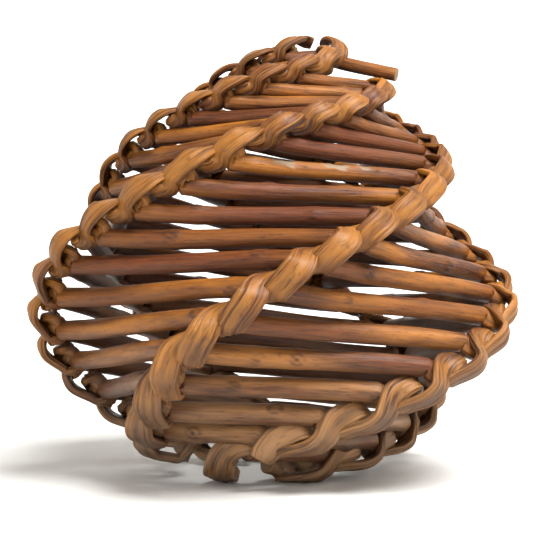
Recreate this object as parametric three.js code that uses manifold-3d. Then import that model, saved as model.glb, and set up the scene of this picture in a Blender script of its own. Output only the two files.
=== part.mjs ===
// A hollow decorative ball plaited from six willow rods.
//
// The plait climbs in a spiral. Its wall has five sides, and each rod runs straight along a side,
// folds over the rod above it at the corner, and runs on along the next side. The folds lie on five
// ridges, which wind up the ball like the threads of a screw. The rods are thick at their butts, at
// the base, and thin at their tips, at the top.
//
// Millimetres, +Z up. The origin is on the table, below the middle of the ball.

import * as THREE from 'three';
import { mergeVertices } from 'three/addons/utils/BufferGeometryUtils.js';
import Module from 'manifold-3d';

const wasm = await Module();
wasm.setup();

// Driving dimensions.
const SIDES = 5;                    // sides of the plait, one ridge at each corner
const RODS = SIDES + 1;             // each rod folds at every sixth fold
const BUTT_DIAMETER = 5.0;          // rod thickness at the base
const TIP_DIAMETER = 3.1;           // rod thickness at the top
const LEAN_BACK = 9.1;              // degrees that the axis leans away from the front
const LEAN_RIGHT = 4.75;            // degrees that it leans to the right
const HEART = new THREE.Vector3(-0.6, 3.2, 52.5); // where the axis crosses height 0 of the profile
const SECTION_SIDES = 6;            // faces round a rod
const FLAT_DEPTH_BOX = 20;          // depth of the block that cuts the standing flats

// The ball's profile, one row every COURSE_STEP courses from the base to the top: the radius of the
// ridges, their height, how far they have turned (degrees), the axis's drift to the right, and how
// much a course climbs towards the back. That climb is what levels the base of the leaning ball.
const COURSE_STEP = 2.5;
const FIRST_COURSE = 0.6;
const PROFILE = [
  [15.0, -51.0, -268, -1.5, 0.1],
  [36.8, -41.5, -210, -0.5, 0.03],
  [55.9, -25.0, -181, 1.1, 0],
  [60.1, -5.4, -156, 1.4, 0],
  [53.0, 11.1, -130, 1.6, 0],
  [43.0, 27.2, -100, 2.6, 0],
  [32.9, 38.5, -67, 3.7, 0],
  [22.6, 48.7, -27, 5.0, 0],
  [8.0, 59.2, 26, 6.6, 0],
];

// How a rod passes one fold. Each row gives the course above the fold's own, the distance along the
// side in rod diameters (minus before the corner), the distance outwards in diameters, the width
// and thickness of the squeezed rod against its diameter, and the turn of its flat side.
const FOLD = {
  arrive: [0.61, -1.68, -0.47, 0.98, 0.99, -0.01],
  behind: [0.28, -0.44, -0.62, 0.98, 0.67, 0],
  crease: [0.2, 1.2, -0.15, 1.08, 0.61, 0],
  rise: [0.43, 0.88, 0.47, 1.15, 0.61, 0.36],
  front: [1.15, 0.02, 0.55, 1.2, 0.61, 0.46],
  crest: [1.72, -1, 0.04, 1.13, 0.6, 0.88],
  tuck: [1.87, 0.54, -0.59, 1.05, 0.62, 1.01],
  leave: [1.42, 1.62, -0.54, 1, 1, 1.01],
};
const STEPS = Object.keys(FOLD);

// Where each rod starts and ends: its last fold, and the steps of its first and last folds between
// which it is there. One tip is left free and runs on from its last step: right, back and up.
const ROD_ENDS = [
  { last: 96, from: 'crease', to: 'tuck' },
  { last: 97, from: 'arrive', to: 'tuck' },
  { last: 92, from: 'arrive', to: 'leave', tip: [15, -4.5, -3.2] },
  { last: 87, from: 'arrive', to: 'leave' },
  { last: 88, from: 'arrive', to: 'behind' },
  { last: 95, from: 'front', to: 'tuck' },
];

// A smooth curve through rows of numbers: a cubic between neighbours, whose slope at each row is
// that of the parabola through the row and the two beside it.
function smoothRow(knots, rows, t) {
  let i = 0;
  while (i < knots.length - 2 && t > knots[i + 1]) i += 1;
  const slope = (k, column) => {
    const before = Math.max(k - 1, 0);
    const after = Math.min(k + 1, knots.length - 1);
    const rise = (a, b) => (rows[b][column] - rows[a][column]) / (knots[b] - knots[a]);
    if (before === k) return rise(k, after);
    if (after === k) return rise(before, k);
    const low = knots[k] - knots[before];
    const high = knots[after] - knots[k];
    return (rise(before, k) * high + rise(k, after) * low) / (low + high);
  };
  const span = knots[i + 1] - knots[i];
  const u = (t - knots[i]) / span;
  const u2 = u * u;
  const u3 = u2 * u;
  return rows[i].map((value, column) => (
    (2 * u3 - 3 * u2 + 1) * value
    + (u3 - 2 * u2 + u) * span * slope(i, column)
    + (3 * u2 - 2 * u3) * rows[i + 1][column]
    + (u3 - u2) * span * slope(i + 1, column)
  ));
}

const profileKnots = PROFILE.map((row, i) => FIRST_COURSE + COURSE_STEP * i);
const LAST_COURSE = profileKnots[profileKnots.length - 1];
const lean = new THREE.Matrix4().makeRotationY(THREE.MathUtils.degToRad(LEAN_RIGHT))
  .multiply(new THREE.Matrix4().makeRotationX(THREE.MathUtils.degToRad(-LEAN_BACK)));

// A point of a ridge, with the directions out of the wall and up along it.
function ridge(course, corner) {
  const [radius, height, turn, drift, climb] = smoothRow(profileKnots, PROFILE, course);
  const ahead = smoothRow(profileKnots, PROFILE, course + 0.01);
  const angle = THREE.MathUtils.degToRad(turn) + (2 * Math.PI * corner) / SIDES;
  const radial = new THREE.Vector3(Math.cos(angle), Math.sin(angle), 0);
  const along = new THREE.Vector3(-Math.sin(angle), Math.cos(angle), 0);
  const up = radial.clone().multiplyScalar(ahead[0] - radius);
  up.z = ahead[1] - height;
  up.normalize();
  const point = radial.multiplyScalar(radius).add(new THREE.Vector3(drift, 0, height));
  point.z += climb * point.y;
  const out = along.clone().cross(up);
  return { point, out, up };
}

function diameterAt(course) {
  return THREE.MathUtils.lerp(BUTT_DIAMETER, TIP_DIAMETER, course / LAST_COURSE);
}

// The place of one step of a fold, before the ball leans: a row with the point, the outward and
// upward directions, the turn of the flat side, and the rod's width and thickness there.
function place(fold, step) {
  const [rise, side, outwards, width, thickness, turn] = FOLD[step];
  const course = fold / SIDES + rise;
  const corner = fold - 3;
  const here = ridge(course, corner);
  const next = ridge(course, corner + Math.sign(side));
  const sideway = next.point.clone().sub(here.point);
  const diameter = diameterAt(course);
  const reach = Math.min(diameter, 0.235 * sideway.length()) * Math.abs(side);
  const point = here.point.clone()
    .addScaledVector(sideway.normalize(), reach)
    .addScaledVector(here.out, outwards * diameter);
  const turns = turn + Math.floor(fold / RODS);
  return [...point, ...here.out, ...here.up, turns, width * diameter, thickness * diameter];
}

// All the places that one rod passes, from butt to tip.
function rodPlaces(number) {
  const { last, from, to, tip } = ROD_ENDS[number];
  const places = [];
  for (let fold = number; fold <= last; fold += RODS) {
    const first = fold === number ? STEPS.indexOf(from) : 0;
    const end = fold === last ? STEPS.indexOf(to) : STEPS.length - 1;
    for (const step of STEPS.slice(first, end + 1)) places.push(place(fold, step));
  }
  if (tip) places.push(extend(places[places.length - 1], tip));
  return places;
}

// One more place past the last, at a distance to the right, to the back and up.
function extend(end, [right, back, up]) {
  return [end[0] + right, end[1] + back, end[2] + up, ...end.slice(3)];
}

// The solid of a rod: a six-sided section carried through its places.
function rodGeometry(places) {
  const points = places.map((row) => new THREE.Vector3(...row));
  const positions = [];
  places.forEach((row, i) => {
    const tangent = points[Math.min(i + 1, points.length - 1)].clone()
      .sub(points[Math.max(i - 1, 0)]).normalize();
    const out = new THREE.Vector3(row[3], row[4], row[5]);
    const up = new THREE.Vector3(row[6], row[7], row[8]);
    const [turns, width, thickness] = row.slice(9);
    const flat = up.multiplyScalar(Math.cos(Math.PI * turns))
      .addScaledVector(out, -Math.sin(Math.PI * turns));
    flat.addScaledVector(tangent, -flat.dot(tangent)).normalize();
    const wide = tangent.clone().cross(flat);
    for (let k = 0; k < SECTION_SIDES; k += 1) {
      const angle = (2 * Math.PI * (k + 0.5)) / SECTION_SIDES;
      const corner = points[i].clone()
        .addScaledVector(flat, 0.5 * thickness * Math.cos(angle))
        .addScaledVector(wide, 0.5 * width * Math.sin(angle));
      positions.push(...corner.applyMatrix4(lean).add(HEART));
    }
  });
  const index = [];
  const at = (i, k) => i * SECTION_SIDES + (k % SECTION_SIDES);
  for (let i = 0; i < places.length - 1; i += 1) {
    for (let k = 0; k < SECTION_SIDES; k += 1) {
      index.push(at(i, k), at(i, k + 1), at(i + 1, k + 1));
      index.push(at(i, k), at(i + 1, k + 1), at(i + 1, k));
    }
  }
  for (let k = 1; k < SECTION_SIDES - 1; k += 1) {
    index.push(at(0, 0), at(0, k + 1), at(0, k));
    index.push(at(places.length - 1, 0), at(places.length - 1, k), at(places.length - 1, k + 1));
  }
  const geometry = new THREE.BufferGeometry();
  geometry.setAttribute('position', new THREE.Float32BufferAttribute(positions, 3));
  geometry.setIndex(index);
  return geometry;
}

function toManifold(geometry) {
  const merged = mergeVertices(geometry);
  return new wasm.Manifold(new wasm.Mesh({
    numProp: 3,
    vertProperties: new Float32Array(merged.attributes.position.array),
    triVerts: new Uint32Array(merged.index.array),
  }));
}

function fromManifold(solid) {
  const mesh = solid.getMesh();
  const geometry = new THREE.BufferGeometry();
  geometry.setAttribute('position', new THREE.Float32BufferAttribute(mesh.vertProperties, 3));
  geometry.setIndex([...mesh.triVerts]);
  geometry.computeVertexNormals();
  return geometry;
}

// The block below the table level, which flattens the rods that the ball stands on.
function tableBlock() {
  const block = new THREE.BoxGeometry(300, 300, FLAT_DEPTH_BOX);
  block.deleteAttribute('normal');
  block.deleteAttribute('uv');
  block.translate(0, 0, -FLAT_DEPTH_BOX / 2);
  return toManifold(block);
}

const table = tableBlock();
const ball = new THREE.Group();
for (let number = 0; number < RODS; number += 1) {
  const solid = toManifold(rodGeometry(rodPlaces(number))).subtract(table);
  const willow = new THREE.MeshStandardMaterial({ color: 0x8f5a2c, roughness: 0.6, metalness: 0 });
  const rod = new THREE.Mesh(fromManifold(solid), willow);
  rod.name = `willow_rod_${number + 1}`;
  ball.add(rod);
}

export default ball;
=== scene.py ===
"""A hollow decorative ball plaited from six willow rods, dressed for rendering.

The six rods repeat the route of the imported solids: each runs straight along a side of the five-sided
wall, folds over its neighbour at the corner and runs on. Here they get their round section, ribbed and
flattened folds, knots, cut ends and bark.

Lengths are in millimetres in the classes and in metres in the meshes.
"""

import logging
from dataclasses import dataclass, field
from enum import Enum

import bpy
import numpy as np
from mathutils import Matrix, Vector


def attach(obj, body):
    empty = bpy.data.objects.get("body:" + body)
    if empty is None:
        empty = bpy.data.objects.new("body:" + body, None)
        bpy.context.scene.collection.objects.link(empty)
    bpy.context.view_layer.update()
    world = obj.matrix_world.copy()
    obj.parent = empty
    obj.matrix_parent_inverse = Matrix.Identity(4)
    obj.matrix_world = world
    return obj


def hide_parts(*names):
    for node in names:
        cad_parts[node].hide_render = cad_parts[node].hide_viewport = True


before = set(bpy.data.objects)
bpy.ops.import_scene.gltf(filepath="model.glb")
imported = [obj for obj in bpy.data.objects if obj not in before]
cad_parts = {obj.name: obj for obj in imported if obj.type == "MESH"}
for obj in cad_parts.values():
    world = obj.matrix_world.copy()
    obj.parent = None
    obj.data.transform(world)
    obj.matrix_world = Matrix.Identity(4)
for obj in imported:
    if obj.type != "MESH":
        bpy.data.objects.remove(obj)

Array = np.ndarray
MM = 0.001
LOG = logging.getLogger("willow_ball")
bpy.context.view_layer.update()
HEART = (-0.6, 3.2, 52.5)


def linear(hex_colour: str) -> tuple[float, float, float, float]:
    """Turn an sRGB hex colour into linear light.

    Args:
        hex_colour: Six hex digits, such as "c08040".

    Returns:
        Red, green, blue and an alpha of one.
    """
    channels = [int(hex_colour[i : i + 2], 16) / 255 for i in (0, 2, 4)]
    light = [c / 12.92 if c <= 0.04045 else ((c + 0.055) / 1.055) ** 2.4 for c in channels]
    return (light[0], light[1], light[2], 1.0)


def unit(vectors: Array) -> Array:
    """Scale every vector to length one.

    Args:
        vectors: Vectors along the last axis.

    Returns:
        The unit vectors.
    """
    return vectors / np.maximum(np.linalg.norm(vectors, axis=-1, keepdims=True), 1e-9)


def bump(distance: Array, width: float) -> Array:
    """Return a bell curve, one at distance nought and nearly nought beyond twice the width."""
    return np.exp(-((distance / width) ** 2))


def smooth_step(value: Array, low: float, high: float) -> Array:
    """Rise smoothly from nought at low to one at high.

    Args:
        value: The values to read.
        low: Where the rise starts.
        high: Where it ends.

    Returns:
        3t^2 - 2t^3 of the share t of the way from low to high.
    """
    share = np.clip((value - low) / (high - low), 0.0, 1.0)
    return share * share * (3 - 2 * share)


def wander(along: Array, wave: float, seed: int, count: int = 5) -> Array:
    """Drift irregularly along a length, as a sum of sines of unrelated wavelengths.

    Args:
        along: Lengths along the rod.
        wave: The shortest wavelength.
        seed: Which drift.
        count: How many sines are summed.

    Returns:
        Values that mostly lie between minus one and one.
    """
    draw = np.random.default_rng(seed)
    waves = wave * draw.uniform(1.0, 3.2, count)
    phases = draw.uniform(0, 2 * np.pi, count)
    angles = 2 * np.pi * along[..., None] / waves + phases
    return np.sin(angles).sum(-1) / np.sqrt(count)


# --------------------------------------------------------------------------------------------------
# The plait
# --------------------------------------------------------------------------------------------------


@dataclass(frozen=True)
class Wall:
    """The five-sided wall that the rods are plaited round.

    A course is one turn of the five corners. The profile gives, every course_step courses, the radius
    of the ridges, their height, their turn in degrees, the drift of the axis to the right and the
    climb of a course towards the back.
    """

    sides: int = 5
    course_step: float = 2.5
    first_course: float = 0.6
    butt_diameter: float = 5.0
    tip_diameter: float = 3.1
    lean_back: float = 9.1
    lean_right: float = 4.75
    heart: tuple[float, float, float] = HEART
    profile: tuple[tuple[float, float, float, float, float], ...] = (
        (15.0, -51.0, -268, -1.5, 0.1),
        (36.8, -41.5, -210, -0.5, 0.03),
        (55.9, -25.0, -181, 1.1, 0),
        (60.1, -5.4, -156, 1.4, 0),
        (53.0, 11.1, -130, 1.6, 0),
        (43.0, 27.2, -100, 2.6, 0),
        (32.9, 38.5, -67, 3.7, 0),
        (22.6, 48.7, -27, 5.0, 0),
        (8.0, 59.2, 26, 6.6, 0),
    )

    @property
    def last_course(self) -> float:
        """Return the course of the profile's last row."""
        return self.first_course + self.course_step * (len(self.profile) - 1)

    def row(self, course: Array) -> Array:
        """Read the profile at any course.

        Between two rows each column is a cubic whose slope at a row is that of the parabola through
        the row and its neighbours.

        Args:
            course: Courses above the base.

        Returns:
            One interpolated row for each course.
        """
        rows = np.array(self.profile)
        rise = np.diff(rows, axis=0)
        slopes = np.vstack([rise[:1], (rise[:-1] + rise[1:]) / 2, rise[-1:]])
        place = (course - self.first_course) / self.course_step
        i = np.clip(np.floor(place).astype(int), 0, len(rows) - 2)
        u = (place - i)[..., None]
        return (
            (2 * u**3 - 3 * u**2 + 1) * rows[i]
            + (u**3 - 2 * u**2 + u) * slopes[i]
            + (3 * u**2 - 2 * u**3) * rows[i + 1]
            + (u**3 - u**2) * slopes[i + 1]
        )

    def ridge(self, course: Array, corner: Array) -> tuple[Array, Array, Array]:
        """Find points of the ridges, before the ball leans.

        Args:
            course: Courses above the base.
            corner: Which corner, counted round without end.

        Returns:
            The points, the directions out of the wall and the directions up along it.
        """
        radius, height, turn, drift, climb = np.moveaxis(self.row(course), -1, 0)
        ahead = self.row(course + 0.01)
        angle = np.radians(turn) + 2 * np.pi * corner / self.sides
        zero = np.zeros_like(angle)
        radial = np.stack([np.cos(angle), np.sin(angle), zero], -1)
        along = np.stack([-np.sin(angle), np.cos(angle), zero], -1)
        up = radial * (ahead[..., 0] - radius)[..., None]
        up[..., 2] = ahead[..., 1] - height
        up = unit(up)
        point = radial * radius[..., None]
        point[..., 0] += drift
        point[..., 2] += height
        point[..., 2] += climb * point[..., 1]
        return point, np.cross(along, up), up

    def diameter(self, course: Array) -> Array:
        """Return the rods' thickness, which falls evenly from the base to the top."""
        share = course / self.last_course
        return self.butt_diameter + (self.tip_diameter - self.butt_diameter) * share

    def lean(self, vectors: Array) -> Array:
        """Lean vectors back and then to the right, as the whole ball does.

        Args:
            vectors: Vectors in the upright ball.

        Returns:
            The leaned vectors.
        """
        back = np.radians(-self.lean_back)
        right = np.radians(self.lean_right)
        about_x = np.array(
            [[1, 0, 0], [0, np.cos(back), -np.sin(back)], [0, np.sin(back), np.cos(back)]]
        )
        about_y = np.array(
            [[np.cos(right), 0, np.sin(right)], [0, 1, 0], [-np.sin(right), 0, np.cos(right)]]
        )
        return vectors @ (about_y @ about_x).T


class Step(Enum):
    """The places that a rod passes at a fold.

    Each holds the course above the fold's own, the distance along the side in diameters, the distance
    outwards in diameters, the width and the thickness against the diameter, and the half turns of the
    rod's flat side.
    """

    ARRIVE = (0.52, -1.15, -0.42, 1.1, 1.1, 0)
    BEHIND = (0.27, -0.15, -0.5, 1.02, 0.76, 0)
    CREASE = (0.24, 1.0, -0.1, 1.3, 0.46, 0)
    RISE = (0.46, 0.8, 0.36, 1.46, 0.44, 0.38)
    FRONT = (1.15, 0.02, 0.42, 1.56, 0.48, 0.47)
    CREST = (1.7, -0.9, 0.03, 1.42, 0.44, 0.84)
    TUCK = (1.86, 0.3, -0.48, 1.08, 0.62, 1)
    LEAVE = (1.46, 1.1, -0.46, 1.1, 1.1, 1)


STEPS = list(Step)
RODS = 6
TORN_ROD = 5
FIRST_CORNER = -3
REACH_LIMIT = 0.235


@dataclass(frozen=True)
class Places:
    """The places that a rod passes, as arrays with one entry for each."""

    point: Array
    out: Array
    up: Array
    turns: Array
    width: Array
    thickness: Array
    fold: Array
    step: Array


@dataclass(frozen=True)
class Knot:
    """A knot of the bark, where a side shoot grew.

    fold is the fold that it lies after, share the part of the way to the rod's next fold, turn the
    degrees round the rod from its top towards the outside, and size its width across.
    """

    fold: int
    share: float
    turn: float
    size: float = 2.4


@dataclass
class Rod:
    """One willow rod, from its butt at the base to its tip at the top.

    It passes every sixth fold, from the step start of its first to the step end of its last. A tip, if
    there is one, runs on freely from there: right, back and up.
    """

    wall: Wall
    number: int
    last: int
    start: Step = Step.ARRIVE
    end: Step = Step.TUCK
    tip: tuple[float, float, float] | None = None
    knots: list[Knot] = field(default_factory=list)
    ring_gap: float = 0.7
    around: int = 56

    def __post_init__(self) -> None:
        """Grow up to two knots on each of the rod's runs, each in its own place."""
        draw = np.random.default_rng(40 + self.number)
        for fold in range(self.number, self.last - RODS, RODS):
            for _ in range(draw.integers(0, 3)):
                share, turn, size = draw.uniform((0.3, -20, 1.1), (0.8, 130, 2.1))
                self.knots.append(Knot(fold, share, turn, size))

    @property
    def name(self) -> str:
        """Return the name of the rod's solid in the frame."""
        return f"willow_rod_{self.number + 1}"

    def places(self) -> Places:
        """Work out every place that the rod passes, in the leaned ball.

        A place lies beside its ridge, towards the neighbouring ridge on the same course, by so many
        diameters but never more than REACH_LIMIT of the way there.

        Returns:
            The places from butt to tip.
        """
        folds = np.arange(self.number, self.last + 1, RODS)
        fold = np.repeat(folds, len(STEPS))
        step = np.tile(np.arange(len(STEPS)), len(folds))
        first = STEPS.index(self.start)
        final = len(fold) - len(STEPS) + STEPS.index(self.end) + 1
        fold, step = fold[first:final], step[first:final]
        rise, side, outwards, width, thickness, turn = np.array([s.value for s in STEPS])[step].T
        course = fold / self.wall.sides + rise
        corner = fold + FIRST_CORNER
        here, out, up = self.wall.ridge(course, corner)
        beside = self.wall.ridge(course, corner + np.sign(side))[0]
        sideway = beside - here
        length = np.linalg.norm(sideway, axis=-1)
        diameter = self.wall.diameter(course)
        reach = np.minimum(diameter, REACH_LIMIT * length) * np.abs(side)
        point = here + unit(sideway) * reach[:, None] + out * (outwards * diameter)[:, None]
        turns = turn + fold // RODS
        if self.tip:
            point = np.vstack([point, point[-1] + np.array(self.tip)])
            out, up = np.vstack([out, out[-1]]), np.vstack([up, up[-1]])
            turns, width = np.append(turns, turns[-1]), np.append(width, width[-1])
            thickness = np.append(thickness, thickness[-1])
            diameter = np.append(diameter, diameter[-1])
            fold, step = np.append(fold, fold[-1]), np.append(step, step[-1])
        return Places(
            point=self.wall.lean(point) + np.array(self.wall.heart),
            out=self.wall.lean(out),
            up=self.wall.lean(up),
            turns=turns,
            width=width * diameter,
            thickness=thickness * diameter,
            fold=fold,
            step=step,
        )


@dataclass(frozen=True)
class Route:
    """A rod's middle line, sampled finely, with what its section needs at each sample."""

    middle: Array
    tangent: Array
    flat: Array
    wide: Array
    width: Array
    thickness: Array
    along: Array
    out: Array
    fold: Array
    stage: Array


RUN_RATIO = 2.2
RUN_SHARE = 0.94
SPEED = 1.08
RUN_GAPS = 13.2
RUN_SPACING = 1.5


def run_smoothly(places: Places, gap: float) -> Route:
    """Carry a smooth line through a rod's places.

    Each stretch is a cubic that leaves and arrives in the directions at its two places, at SPEED times
    its length. A direction is the mean of the two chords', weighted to the shorter one, but at the ends
    of a straight run, where one chord is RUN_RATIO times the other, it is nearly the run's own. The
    section's sizes and turn follow monotone cubics. Stretches of more than RUN_GAPS gaps are sampled
    RUN_SPACING times as widely.

    Args:
        places: The places, from butt to tip.
        gap: The distance between samples in the folds.

    Returns:
        The sampled line.
    """
    point = places.point
    chord = np.diff(point, axis=0)
    length = np.linalg.norm(chord, axis=-1)
    way = unit(chord)
    before, after = way[:-1], way[1:]
    low, high = length[:-1, None], length[1:, None]
    middle_way = unit(before * high + after * low)
    straight = np.where(low > high, before, after)
    is_run = np.maximum(low, high) > RUN_RATIO * np.minimum(low, high)
    run_way = RUN_SHARE * straight + (1 - RUN_SHARE) * middle_way
    inner = unit(np.where(is_run, run_way, middle_way))
    direction = np.vstack([way[:1], inner, way[-1:]])

    spacing = np.where(length > RUN_GAPS * gap, RUN_SPACING * gap, gap)
    count = np.maximum(np.ceil(length / spacing).astype(int), 2)
    stretch = np.repeat(np.arange(len(length)), count)
    first = np.repeat(np.cumsum(count) - count, count)
    u = (np.arange(count.sum()) - first) / count[stretch]
    stretch, u = np.append(stretch, len(length) - 1), np.append(u, 1.0)
    t = u[:, None]
    speed = SPEED * length[stretch, None]
    middle = (
        (2 * t**3 - 3 * t**2 + 1) * point[stretch]
        + (t**3 - 2 * t**2 + t) * speed * direction[stretch]
        + (3 * t**2 - 2 * t**3) * point[stretch + 1]
        + (t**3 - t**2) * speed * direction[stretch + 1]
    )
    knot = np.concatenate([[0.0], np.cumsum(length)])
    columns = np.column_stack([places.turns, places.width, places.thickness, places.out, places.up])
    values = follow_monotone(knot, columns, stretch, u)
    tangent = unit(np.gradient(middle, axis=0))
    half_turn = np.pi * values[:, :1]
    flat = values[:, 6:9] * np.cos(half_turn) - values[:, 3:6] * np.sin(half_turn)
    flat = unit(flat - tangent * (flat * tangent).sum(-1, keepdims=True))
    along = np.concatenate([[0.0], np.cumsum(np.linalg.norm(np.diff(middle, axis=0), axis=-1))])
    return Route(
        middle=middle,
        tangent=tangent,
        flat=flat,
        wide=np.cross(tangent, flat),
        width=values[:, 1],
        thickness=values[:, 2],
        along=along,
        out=unit(values[:, 3:6]),
        fold=places.fold[stretch],
        stage=places.step[stretch] + u,
    )


def follow_monotone(knot: Array, columns: Array, stretch: Array, u: Array) -> Array:
    """Interpolate columns without overshoot.

    The slope at a knot is nought where the values turn back, and otherwise the harmonic mean of the
    slopes on its two sides.

    Args:
        knot: Where the rows of columns lie.
        columns: The values at the knots.
        stretch: Which interval each sample is in.
        u: The share of that interval that has gone by.

    Returns:
        The columns at every sample.
    """
    span = np.diff(knot)[:, None]
    slope = np.diff(columns, axis=0) / span
    product = slope[:-1] * slope[1:]
    total = slope[:-1] + slope[1:]
    safe = np.where(np.abs(total) < 1e-12, 1.0, total)
    inner = np.where(product > 0, 2 * product / safe, 0.0)
    slopes = np.vstack([slope[:1], inner, slope[-1:]])
    t = u[:, None]
    wide = span[stretch]
    return (
        (2 * t**3 - 3 * t**2 + 1) * columns[stretch]
        + (t**3 - 2 * t**2 + t) * wide * slopes[stretch]
        + (3 * t**2 - 2 * t**3) * columns[stretch + 1]
        + (t**3 - t**2) * wide * slopes[stretch + 1]
    )


@dataclass(frozen=True)
class Scar:
    """A torn stretch of bark.

    fold, share and turn place its middle as they place a knot's, and length is how far it runs along.
    """

    fold: int
    share: float
    length: float
    turn: float


@dataclass(frozen=True)
class Surface:
    """A rod's skin as a grid of points, with the values that its bark reads.

    grain is the place on a straightened rod. The others go from nought to one, apart from tone, which
    drifts about nought: band on pressed folds, knot and cut on knots and cut ends, worn where the bark
    is gone, and the painted shade on the inner and under sides and in the grooves between ribs.
    """

    points: Array
    grain: Array
    band: Array
    knot: Array
    cut: Array
    worn: Array
    tone: Array
    painted_shade: Array


def add_node(
    tree: bpy.types.NodeTree, kind: str, inputs: dict | None = None, **settings
) -> bpy.types.Node:
    """Add a node with its settings, values and links.

    Args:
        tree: The node tree.
        kind: The node's type.
        inputs: Values or sockets by input name or number. A socket is linked, a value is set.
        settings: Properties of the node.

    Returns:
        The node.
    """
    node = tree.nodes.new(kind)
    for name, value in settings.items():
        setattr(node, name, value)
    for name, value in (inputs or {}).items():
        if isinstance(value, bpy.types.NodeSocket):
            tree.links.new(value, node.inputs[name])
        else:
            node.inputs[name].default_value = value
    return node


@dataclass(frozen=True)
class WillowBark:
    """Basket willow with its bark on, dried and bare of varnish.

    The bark is satin, warm brown with golden streaks and fine dark cracks that run along the rod, redder
    where it is young, tan where a fold has pressed it flat and dark round its knots. The sides that face
    inwards or down and the grooves between ribs are darkened by painted shade. Torn bark shows grey
    wood, and a cut end pale brown wood. Sizes are in mm.
    """

    dark: str = "331505"
    brown: str = "6f3912"
    gold: str = "a96820"
    red: str = "6b3112"
    tan: str = "a56e2b"
    grey: str = "96836a"
    # The dark of the cracks, also used for the painted shade on the inner and under sides.
    crack_and_painted_shade: str = "2c150a"
    knot_dark: str = "2a140c"
    cut_wood: str = "8d6f4c"
    streak_width: float = 0.5
    streak_length: float = 11.0
    mottle_width: float = 3.5
    mottle_length: float = 26.0
    speck_size: float = 1.1
    crack_width: float = 0.42
    crack_length: float = 4.5
    roughness: float = 0.46
    bump_depth: float = 0.3
    ior: float = 1.47
    specular: float = 0.45

    def material(self) -> bpy.types.Material:
        """Build the bark's material.

        Returns:
            The material, which reads the rods' own attributes.
        """
        bark = bpy.data.materials.new("willow_bark")
        bark.use_nodes = True
        tree = bark.node_tree
        tree.nodes.clear()

        def value(name: str) -> bpy.types.NodeSocket:
            """Read one of the rods' own attributes."""
            return add_node(tree, "ShaderNodeAttribute", attribute_name=name).outputs["Fac"]

        def pattern(width: float, length: float, detail: float, shift: float) -> bpy.types.NodeSocket:
            """Draw cloudy streaks that are so wide across the rod and so long along it, in mm."""
            grain = add_node(tree, "ShaderNodeAttribute", attribute_name="grain").outputs["Vector"]
            scale = (1 / (width * MM), 1 / (width * MM), 1 / (length * MM))
            mapped = add_node(
                tree, "ShaderNodeMapping", {"Vector": grain, "Scale": scale, "Location": (shift, 0, 0)}
            )
            noise = add_node(
                tree,
                "ShaderNodeTexNoise",
                {"Vector": mapped.outputs[0], "Scale": 1.0, "Detail": detail, "Roughness": 0.6},
            )
            return noise.outputs["Fac"]

        def between(source: bpy.types.NodeSocket, low: float, high: float) -> bpy.types.NodeSocket:
            """Stretch the values from low to high over nought to one."""
            limits = {"Value": source, "From Min": low, "From Max": high}
            return add_node(tree, "ShaderNodeMapRange", limits, clamp=True).outputs[0]

        def mix(share: bpy.types.NodeSocket, first, second) -> bpy.types.NodeSocket:
            """Mix two colours by a share."""
            node = add_node(tree, "ShaderNodeMix", {0: share, 6: first, 7: second}, data_type="RGBA")
            return node.outputs[2]

        def times(first, second) -> bpy.types.NodeSocket:
            """Multiply two values."""
            values = {0: first, 1: second}
            return add_node(tree, "ShaderNodeMath", values, operation="MULTIPLY").outputs[0]

        def plus(first, second) -> bpy.types.NodeSocket:
            """Add two values."""
            values = {0: first, 1: second}
            return add_node(tree, "ShaderNodeMath", values, operation="ADD").outputs[0]

        streak = pattern(self.streak_width, self.streak_length, 5.0, 0.0)
        mottle = pattern(self.mottle_width, self.mottle_length, 3.0, 7.0)
        speck = pattern(self.speck_size, self.speck_size * 2.2, 2.0, 13.0)
        crack = pattern(self.crack_width, self.crack_length, 2.0, 31.0)
        crack_floor = between(crack, 0.60, 0.70)
        tone = value("tone")
        band = value("band")
        colour = mix(between(streak, 0.38, 0.60), linear(self.dark), linear(self.brown))
        golden = times(between(mottle, 0.36, 0.62), between(tone, -1.5, 0.7))
        colour = mix(golden, colour, linear(self.gold))
        colour = mix(times(between(tone, -0.1, -1.3), 0.5), colour, linear(self.red))
        pressed = times(band, between(streak, 0.40, 0.58))
        colour = mix(times(pressed, 0.75), colour, linear(self.tan))
        colour = mix(times(between(speck, 0.60, 0.74), 0.4), colour, linear(self.dark))
        colour = mix(times(between(crack, 0.61, 0.72), 0.5), colour, linear(self.crack_and_painted_shade))
        colour = mix(times(value("worn"), between(mottle, 0.25, 0.6)), colour, linear(self.grey))
        colour = mix(value("knot"), colour, linear(self.knot_dark))
        # Painted shade on the sides that face inwards or down and in the rib grooves.
        colour = mix(times(value("painted_shade"), 0.88), colour, linear(self.crack_and_painted_shade))
        colour = mix(times(value("cut"), 0.9), colour, linear(self.cut_wood))

        height = plus(plus(streak, times(speck, 0.35)), times(crack_floor, -0.5))
        relief = add_node(
            tree,
            "ShaderNodeBump",
            {"Height": height, "Strength": 0.8, "Distance": self.bump_depth * MM},
        )
        gloss = add_node(
            tree,
            "ShaderNodeMapRange",
            {"Value": streak, "To Min": self.roughness - 0.08, "To Max": self.roughness + 0.16},
        )
        skin = add_node(
            tree,
            "ShaderNodeBsdfPrincipled",
            {
                "Base Color": colour,
                "Roughness": gloss.outputs[0],
                "Normal": relief.outputs[0],
                "IOR": self.ior,
                "Specular IOR Level": self.specular,
            },
        )
        add_node(tree, "ShaderNodeOutputMaterial", {"Surface": skin.outputs[0]})
        return bark


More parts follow.
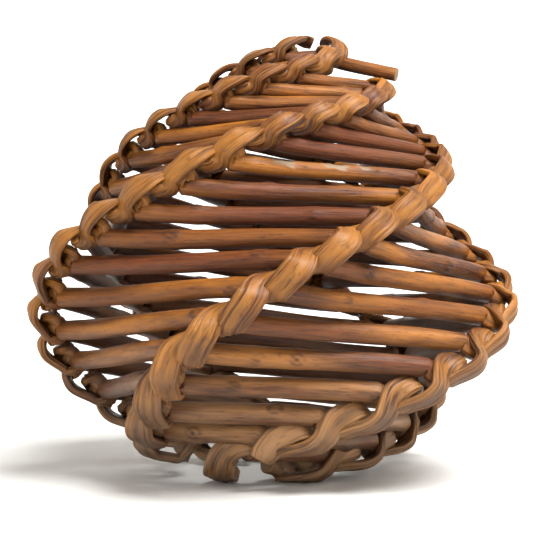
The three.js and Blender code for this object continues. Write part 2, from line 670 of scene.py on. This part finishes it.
def mesh_object(name: str, points: Array, faces: Array, smooth: bool = True) -> bpy.types.Object:
    """Make an object of points in metres and faces of four corners.

    Args:
        name: The object's name.
        points: Points, three to a row.
        faces: Point numbers, four to a row.
        smooth: Whether the faces are shaded smoothly.

    Returns:
        The object, linked into the scene.
    """
    mesh = bpy.data.meshes.new(name)
    mesh.vertices.add(len(points))
    mesh.vertices.foreach_set("co", np.ascontiguousarray(points, np.float32).ravel())
    mesh.loops.add(faces.size)
    mesh.loops.foreach_set("vertex_index", np.ascontiguousarray(faces, np.int32).ravel())
    mesh.polygons.add(len(faces))
    mesh.polygons.foreach_set("loop_start", np.arange(0, faces.size, 4, dtype=np.int32))
    mesh.polygons.foreach_set("use_smooth", np.full(len(faces), smooth))
    mesh.update(calc_edges=True)
    mesh.validate()
    thing = bpy.data.objects.new(name, mesh)
    bpy.context.scene.collection.objects.link(thing)
    return thing


def grid_faces(rows: int, columns: int, wraps: bool) -> Array:
    """Number the faces of a grid of points.

    Args:
        rows: Rows of points.
        columns: Points in a row.
        wraps: Whether the last column meets the first.

    Returns:
        Faces of four points, facing outwards where the columns run anticlockwise seen from the rows'
        far end.
    """
    last = columns if wraps else columns - 1
    i, j = np.meshgrid(np.arange(rows - 1), np.arange(last), indexing="ij")
    k = (j + 1) % columns
    row, above = i * columns, (i + 1) * columns
    return np.stack([row + j, row + k, above + k, above + j], -1).reshape(-1, 4)


@dataclass
class Skin:
    """Turns a rod's route into its skin and into a mesh.

    The surface is a section carried along the route: point(s, a) = middle(s) + flat(s) cos(a) half
    thickness + wide(s) sin(a) half width, squarer the flatter it is, with the ribs, knots and scars
    added outwards. rib_waves gives the ribs' spacings across the rod and how much each one counts.
    """

    rod: Rod
    scars: list[Scar] = field(default_factory=list)
    rib_waves: tuple[tuple[float, float], ...] = ((2.3, 0.5), (1.45, 0.9), (1.0, 0.8))
    round_rib: float = 0.025
    pressed_rib: float = 0.11
    squareness: float = 1.2
    floor: float = 0.02
    grain_radius: float = 2.2
    rod_shift: float = 700.0

    def spot(self, route: Route, fold: int, share: float) -> float:
        """Find the length along the rod at a share of the run after a fold.

        Args:
            route: The rod's sampled line.
            fold: The fold.
            share: The part of the way to the next fold.

        Returns:
            The length along the rod.
        """
        front = STEPS.index(Step.FRONT)
        here = np.flatnonzero((route.fold == fold) & (route.stage >= front))
        there = np.flatnonzero((route.fold == fold + RODS) & (route.stage >= front))
        start = route.along[here[0]] if len(here) else 0.0
        stop = route.along[there[0]] if len(there) else route.along[-1]
        return start + share * (stop - start)

    def side_angle(self, fold: int, turn: float) -> float:
        """Turn degrees from a run's top towards its outside into the section's own angle.

        Args:
            fold: The fold that the run comes after.
            turn: Degrees from the top towards the outside.

        Returns:
            The angle in radians. The section makes another half turn at every fold.
        """
        return np.radians(turn) + np.pi * (fold // RODS + Step.LEAVE.value[-1])

    def offsets(self, route: Route, around: Array, mark: Knot | Scar) -> tuple[Array, Array]:
        """Measure how far each point of the skin lies from a mark, in millimetres.

        Args:
            route: The rod's sampled line.
            around: The angles round the section.
            mark: The knot or scar.

        Returns:
            The distances along the rod and round it, with their signs.
        """
        radius = 0.25 * (route.width + route.thickness)[:, None]
        turned = np.angle(np.exp(1j * (around - self.side_angle(mark.fold, mark.turn))))
        return route.along[:, None] - self.spot(route, mark.fold, mark.share), radius * turned

    def knots(self, route: Route, around: Array) -> tuple[Array, Array]:
        """Raise the knots: a low mound with a ring and a pit, on a slight swelling of the rod.

        Args:
            route: The rod's sampled line.
            around: The angles round the section.

        Returns:
            How far the skin is lifted, and where it is dark.
        """
        lift = np.zeros((len(route.along), self.rod.around))
        dark = np.zeros_like(lift)
        for knot in self.rod.knots:
            along, beside = self.offsets(route, around, knot)
            distance = np.hypot(along * 0.75, beside)
            mound = bump(distance, 0.7 * knot.size)
            ring = bump(distance - 0.5 * knot.size, 0.2 * knot.size)
            pit = bump(distance, 0.2 * knot.size)
            lift += 0.3 * mound + 0.16 * ring - 0.3 * pit + 0.13 * bump(along, 2.2)
            eye = bump(distance, 0.24 * knot.size)
            rim = bump(distance - 0.62 * knot.size, 0.16 * knot.size)
            dark = np.maximum(dark, np.maximum(eye, 0.75 * rim))
        return lift, dark

    def tears(self, route: Route, around: Array) -> tuple[Array, Array]:
        """Sink the torn stretches of bark, with ragged ends and a raised edge.

        Args:
            route: The rod's sampled line.
            around: The angles round the section.

        Returns:
            How far the skin is lifted, and where the bark is gone.
        """
        lift = np.zeros((len(route.along), self.rod.around))
        worn = np.zeros_like(lift)
        for scar in self.scars:
            along, beside = self.offsets(route, around, scar)
            past_end = np.abs(along) - 0.5 * scar.length
            ragged = 1.2 * wander(route.along, 4, 100 * self.rod.number + 40)[:, None]
            narrow = smooth_step(1.3 + 0.7 * ragged - np.abs(beside), 0, 0.5)
            torn = smooth_step(ragged - past_end, 0, 2.0) * narrow
            edge = smooth_step(torn, 0.05, 0.3) * (1 - smooth_step(torn, 0.3, 0.8))
            worn = np.maximum(worn, torn)
            lift += 0.3 * edge - 0.28 * torn
        return lift, worn

    def surface(self) -> Surface:
        """Work out the skin's points and attributes.

        Returns:
            The skin, closed at both ends.
        """
        rod = self.rod
        route = run_smoothly(rod.places(), rod.ring_gap)
        around = (2 * np.pi * (np.arange(rod.around) + 0.5) / rod.around)[None, :]
        sine, cosine = np.sin(around), np.cos(around)
        seed = 100 * rod.number

        # The section: a superellipse, squarer where the rod is pressed flat, that swells a little.
        squeeze = np.clip(1 - route.thickness / route.width, 0, 0.5)[:, None] * 2
        power = 2 / (2 + self.squareness * squeeze)
        swell = 1 + 0.03 * wander(route.along, 26, seed + 1)[:, None]
        across = np.sign(sine) * np.abs(sine) ** power * 0.5 * route.width[:, None] * swell
        deep = np.sign(cosine) * np.abs(cosine) ** power * 0.5 * route.thickness[:, None] * swell

        # Ribs: sines across the rod that drift slowly along it and differ on its two faces.
        ribs = np.zeros((len(route.along), rod.around))
        for order, (wave, weight) in enumerate(self.rib_waves):
            phase = 1.1 * wander(route.along, 45, seed + 10 + order)[:, None]
            ribs += weight * np.sin(2 * np.pi * across / wave + phase + 2 * np.sign(cosine))
        knot_lift, knot = self.knots(route, around)
        tear_lift, worn = self.tears(route, around)
        lift = ribs * (self.round_rib + self.pressed_rib * squeeze) + knot_lift + tear_lift

        across = across + lift * sine
        deep = deep + lift * cosine
        points = (
            route.middle[:, None, :]
            + across[..., None] * route.wide[:, None, :]
            + deep[..., None] * route.flat[:, None, :]
        )
        points[..., 2] = np.maximum(points[..., 2], self.floor)

        # Wear near the floor, and bands that are brightest on the half that faces out.
        worn = np.maximum(worn, 0.5 * smooth_step(-points[..., 2], -48, -4))
        heart = np.array(rod.wall.heart)
        reach = np.linalg.norm((points - heart)[..., :2], axis=-1)
        middle_reach = np.linalg.norm((route.middle - heart)[..., :2], axis=-1)
        outward = smooth_step(reach - middle_reach[:, None], -0.8, 1.0)
        band = np.clip(1.6 * squeeze, 0, 1) * (0.35 + 0.65 * outward)

        # Painted shade: darker where the skin faces into the ball or down, and in the grooves between
        # ribs.
        facing = sine[..., None] * route.wide[:, None, :] + cosine[..., None] * route.flat[:, None, :]
        inside = smooth_step(-(facing * route.out[:, None, :]).sum(-1), -0.2, 0.9)
        under = smooth_step(-facing[..., 2], 0.0, 0.95)
        painted_groove_shade = 0.45 * squeeze * smooth_step(-ribs, 0.5, 1.8)
        painted_shade = np.clip(0.6 * inside + 0.55 * under + painted_groove_shade, 0, 1)

        ones = np.ones_like(ribs)
        tone = wander(route.along, 70, seed + 60, 3)[:, None] * ones
        place_along = (route.along[:, None] + self.rod_shift * rod.number) * ones
        grain = np.stack(
            [self.grain_radius * cosine * ones, self.grain_radius * sine * ones, place_along], -1
        )
        skin = Surface(points, grain, band, knot, np.zeros_like(ribs), worn, tone, painted_shade)
        return self.close(skin, route)

    def close(self, skin: Surface, route: Route) -> Surface:
        """Close the skin at both ends with cut faces, rings that shrink towards the middle.

        Args:
            skin: The open skin.
            route: The rod's sampled line.

        Returns:
            The closed skin.
        """

        def capped(values: Array, first: Array, last: Array) -> Array:
            """Put rings before the first and after the last."""
            return np.concatenate([first, values, last])

        shares = np.array([0.93, 0.8, 0.55, 0.3, 0.06])

        def rings(ring: Array, centre: Array, ahead: Array) -> Array:
            """Shrink a ring towards its centre, a little ahead of it."""
            push = np.array([0.25, 0.3, 0.32, 0.33, 0.33])[:, None, None] * ahead
            return centre + (ring - centre) * shares[:, None, None] + push

        first = rings(skin.points[0], skin.points[0].mean(0), -route.tangent[0])[::-1]
        last = rings(skin.points[-1], skin.points[-1].mean(0), route.tangent[-1])
        count = len(shares)

        def repeat(values: Array) -> Array:
            """Carry the end values over the cut faces."""
            return capped(values, np.repeat(values[:1], count, 0), np.repeat(values[-1:], count, 0))

        cut = repeat(skin.cut)
        cut[:count] = 1.0
        cut[-count:] = 1.0
        return Surface(
            points=capped(skin.points, first, last),
            grain=repeat(skin.grain),
            band=repeat(skin.band),
            knot=repeat(skin.knot),
            cut=cut,
            worn=repeat(skin.worn),
            tone=repeat(skin.tone),
            painted_shade=repeat(skin.painted_shade),
        )

    def build(self, bark: bpy.types.Material) -> bpy.types.Object:
        """Build the rod's mesh in place of its solid.

        Args:
            bark: The rods' material.

        Returns:
            The finished rod.
        """
        skin = self.surface()
        rows, columns = skin.points.shape[:2]
        points = skin.points.reshape(-1, 3) * MM
        faces = grid_faces(rows, columns, wraps=True)
        half = np.arange(1, columns // 2)
        ends = []
        for base, turned in ((0, True), ((rows - 1) * columns, False)):
            quad = np.stack([half - 1, half, columns - 1 - half, columns - half], -1)
            ends.append(base + (quad[:, ::-1] if turned else quad))
        rod = mesh_object(f"{self.rod.name}_bark", points, np.vstack([faces, *ends]))
        mesh = rod.data
        grain = mesh.attributes.new("grain", "FLOAT_VECTOR", "POINT")
        grain.data.foreach_set("vector", (skin.grain.reshape(-1, 3) * MM).astype(np.float32).ravel())
        for name in ("band", "knot", "cut", "worn", "tone", "painted_shade"):
            layer = mesh.attributes.new(name, "FLOAT", "POINT")
            layer.data.foreach_set("value", getattr(skin, name).astype(np.float32).ravel())
        mesh.materials.append(bark)
        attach(rod, "root")
        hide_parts(self.rod.name)
        LOG.info("%s: %d points in %d rings", rod.name, len(points), rows)
        return rod


@dataclass
class Ball:
    """The six rods of the ball."""

    wall: Wall = field(default_factory=Wall)
    bark: WillowBark = field(default_factory=WillowBark)

    def rods(self) -> list[Rod]:
        """List the rods with their ends."""
        return [
            Rod(self.wall, 0, 96, start=Step.CREASE),
            Rod(self.wall, 1, 97),
            Rod(self.wall, 2, 92, end=Step.LEAVE, tip=(15, -4.5, -3.2)),
            Rod(self.wall, 3, 87, end=Step.LEAVE),
            Rod(self.wall, 4, 88, end=Step.BEHIND),
            Rod(self.wall, 5, 95, start=Step.FRONT),
        ]

    def scars(self, rod: Rod) -> list[Scar]:
        """List the places where a rod's bark is torn to the grey wood."""
        if rod.number == TORN_ROD:
            return [Scar(53, 0.36, 6.0, 60), Scar(53, 0.56, 13.0, 55)]
        return []

    def build(self) -> None:
        """Build every rod and dress it."""
        bark = self.bark.material()
        for rod in self.rods():
            Skin(rod, self.scars(rod)).build(bark)


@dataclass(frozen=True)
class Studio:
    """A white paper sweep, soft lights and the camera, which stands so many mm from the heart."""

    distance: float = 442.0
    elevation: float = 2.0
    view_angle: float = 18.06
    heart: tuple[float, float, float] = HEART

    def sweep(self) -> bpy.types.Object:
        """Build the floor, which curves up into a wall all round.

        The floor is a disc, a quarter circle and an upright wall, turned about the upright axis.

        Returns:
            The floor.
        """
        flat, bend, top, columns = 1.0, 0.5, 2.2, 64
        rise = np.linspace(0, np.pi / 2, 24)
        radius = np.concatenate([[0.0005], flat + bend * np.sin(rise), [flat + bend]])
        height = np.concatenate([[0.0], bend * (1 - np.cos(rise)), [top]])
        angle = -2 * np.pi * np.arange(columns) / columns
        x = radius[:, None] * np.cos(angle)
        y = radius[:, None] * np.sin(angle)
        z = np.broadcast_to(height[:, None], x.shape)
        points = np.stack([x, y, z], -1).reshape(-1, 3)
        floor = mesh_object("paper_sweep", points, grid_faces(len(radius), columns, wraps=True))
        paper = bpy.data.materials.new("matt_white_paper")
        paper.use_nodes = True
        tree = paper.node_tree
        tree.nodes.clear()
        skin = add_node(
            tree, "ShaderNodeBsdfPrincipled", {"Base Color": linear("e9e8e5"), "Roughness": 0.9}
        )
        add_node(tree, "ShaderNodeOutputMaterial", {"Surface": skin.outputs[0]})
        floor.data.materials.append(paper)
        return floor

    def lamp(
        self,
        name: str,
        place: tuple[float, float, float],
        size: float,
        watts: float,
        target: tuple[float, float, float] | None = None,
    ) -> None:
        """Hang a soft square lamp.

        Args:
            name: The lamp's name.
            place: Where it hangs, in metres.
            size: The length of its side, in metres.
            watts: Its power.
            target: What it points at, in metres. Without one it points at the ball.
        """
        light = bpy.data.lights.new(name, "AREA")
        light.size = size
        light.energy = watts
        lamp = bpy.data.objects.new(name, light)
        bpy.context.scene.collection.objects.link(lamp)
        lamp.location = place
        aim = (Vector(target) if target else Vector(self.heart) * MM) - Vector(place)
        lamp.rotation_euler = aim.to_track_quat("-Z", "Y").to_euler()

    def camera(self) -> None:
        """Set up the camera, a little above level and aimed at the ball's heart."""
        angle = np.radians(self.elevation)
        heart = Vector(self.heart) * MM
        data = bpy.data.cameras.new("camera")
        data.sensor_width = 36.0
        data.angle = np.radians(self.view_angle)
        data.clip_start = 0.01
        camera = bpy.data.objects.new("camera", data)
        bpy.context.scene.collection.objects.link(camera)
        camera.location = heart + Vector((0, -np.cos(angle), np.sin(angle))) * self.distance * MM
        camera.rotation_euler = (heart - camera.location).to_track_quat("-Z", "Y").to_euler()
        bpy.context.scene.camera = camera

    def build(self) -> None:
        """Build the sweep, the lights and the camera, and keep the paper's white as white."""
        self.sweep()
        self.lamp("soft_key", (0.42, -0.42, 1.1), 0.6, 26.0)
        self.lamp("soft_fill", (-0.6, -1.0, 0.45), 0.8, 1.0)
        self.lamp("paper_light", (0.0, 0.55, 0.65), 0.6, 12.0, (0.0, 1.4, 0.3))
        world = bpy.data.worlds.new("pale_room")
        world.use_nodes = True
        world.node_tree.nodes["Background"].inputs["Color"].default_value = (1.0, 1.0, 1.0, 1.0)
        world.node_tree.nodes["Background"].inputs["Strength"].default_value = 0.2
        bpy.context.scene.world = world
        bpy.context.scene.view_settings.view_transform = "Standard"
        self.camera()


def main() -> None:
    """Build the ball's rods and the studio."""
    logging.basicConfig(level=logging.INFO)
    Ball().build()
    Studio().build()
    bpy.context.view_layer.update()


if __name__ == "__main__":
    main()
